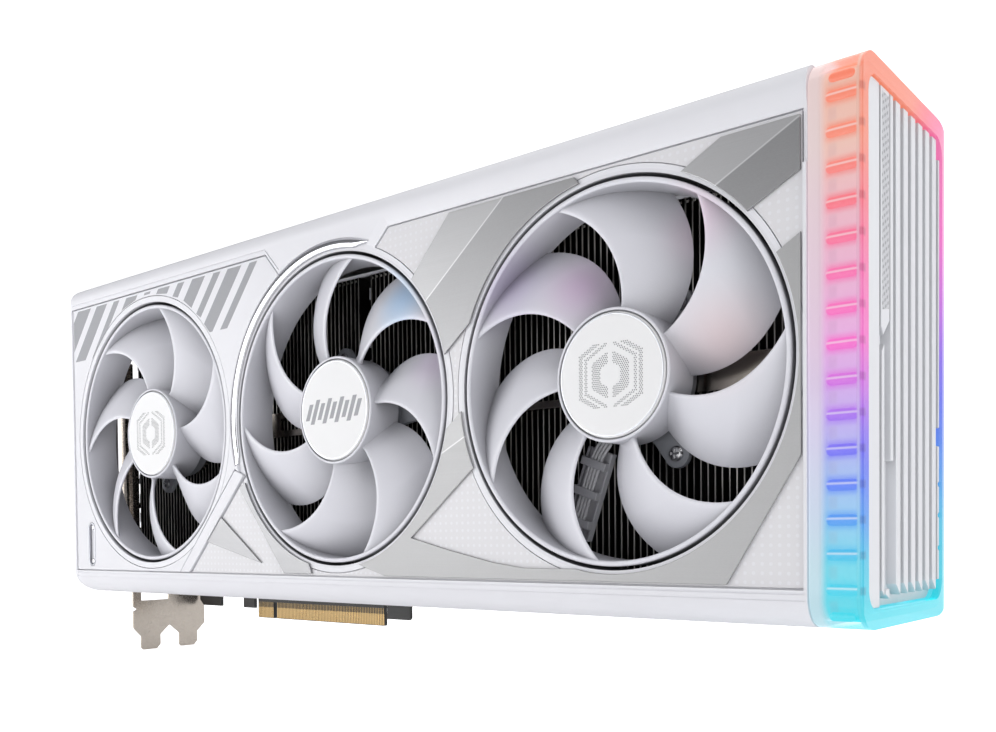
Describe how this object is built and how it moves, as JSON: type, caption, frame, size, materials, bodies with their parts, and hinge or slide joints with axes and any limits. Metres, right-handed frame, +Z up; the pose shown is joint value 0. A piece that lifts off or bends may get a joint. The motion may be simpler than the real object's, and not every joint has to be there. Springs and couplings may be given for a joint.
{
  "type": "graphics card",
  "caption": "Desktop graphics card with axial fans behind a white shroud, silver trims, a finned cooler, a board with an edge connector and a lit band round its tail.",
  "frame": {"origin": "middle of the lower face of the long run of edge contacts, which goes into the slot", "axes": "+X along the card from the I/O bracket to the lit tail end, +Y from the fan side to the backplate, +Z up, away from the slot"},
  "size_m": [0.3696, 0.07, 0.1647],
  "materials": {
    "white_plastic": "fine satin white moulding",
    "dotted_white": "white with a regular pattern of small paler dots",
    "silver": "brushed silver trim",
    "dark_silver": "darker brushed silver trim",
    "bright_trim": "polished silver",
    "light_cover": "clear frosted cover over coloured lights",
    "led_light": "lit light strip",
    "blade_white": "satin white moulding",
    "badge_white": "white label disc",
    "black_fins": "black coated fins with bare edges",
    "black_metal": "black painted sheet metal",
    "nickel": "nickel plate",
    "port_steel": "bright steel",
    "copper": "copper and bronze",
    "grey_plastic": "dark grey moulding",
    "lead_white": "white insulated wires",
    "board_black": "black solder mask",
    "gold": "gold plate",
    "chip_grey": "polished silicon and laminate",
    "black_plastic": "black moulding",
    "switch_white": "white moulding",
    "white_metal": "white painted metal"
  },
  "bodies": {
    "card": {"front_shroud": "white_plastic", "left_panel": "white_plastic", "dotted_panel": "dotted_white", "diagonal_beam": "white_plastic", "crescent_trim": "bright_trim", "triangle_trim": "dark_silver", "band_trim": "dark_silver", "upper_trim": "silver", "lower_trim": "silver", "corner_trim": "silver", "light_cover": "light_cover", "led_strip": "led_light", "tail_grille": "white_plastic", "cable_guide": "grey_plastic", "fin_stack_left": "black_fins", "fin_stack_right": "black_fins", "cross_brace": "black_metal", "cold_plate": "nickel", "heat_pipe_1": "nickel", "heat_pipe_2": "nickel", "heat_pipe_3": "nickel", "circuit_board": "board_black", "edge_contact_short": "gold", "edge_contact_long": "gold", "gpu_package": "chip_grey", "power_connector": "black_plastic", "bios_switch_body": "black_plastic", "io_bracket": "nickel", "hdmi_port_1": "port_steel", "hdmi_port_2": "port_steel", "display_port_1": "port_steel", "display_port_2": "port_steel", "display_port_3": "port_steel", "bracket_post": "nickel", "backplate": "white_metal", "retention_bracket": "port_steel", "left_fan_bearing": "copper", "left_fan_stator": "copper", "left_fan_mount": "grey_plastic", "left_fan_lead": "lead_white", "middle_fan_bearing": "copper", "middle_fan_stator": "copper", "middle_fan_mount": "grey_plastic", "middle_fan_lead": "lead_white", "right_fan_bearing": "copper", "right_fan_stator": "copper", "right_fan_mount": "grey_plastic", "right_fan_lead": "lead_white"},
    "left_rotor": {"left_fan_rotor": "blade_white", "left_fan_badge": "badge_white", "left_fan_shaft": "port_steel"},
    "middle_rotor": {"middle_fan_rotor": "blade_white", "middle_fan_badge": "badge_white", "middle_fan_shaft": "port_steel"},
    "right_rotor": {"right_fan_rotor": "blade_white", "right_fan_badge": "badge_white", "right_fan_shaft": "port_steel"},
    "bios_slider": {"bios_switch_slider": "switch_white"}
  },
  "joints": [
    {"name": "left_fan_spin", "type": "hinge", "parent": "card", "child": "left_rotor", "pos_m": [-0.03768, -0.0591, 0.081], "axis": [0, -1, 0], "continuous": true},
    {"name": "middle_fan_spin", "type": "hinge", "parent": "card", "child": "middle_rotor", "pos_m": [0.07583, -0.0591, 0.081], "axis": [0, -1, 0], "continuous": true},
    {"name": "right_fan_spin", "type": "hinge", "parent": "card", "child": "right_rotor", "pos_m": [0.18932, -0.0591, 0.081], "axis": [0, -1, 0], "continuous": true},
    {"name": "bios_switch_slide", "type": "slide", "parent": "card", "child": "bios_slider", "axis": [1, 0, 0], "range_m": [0, 0.002]}
  ]
}
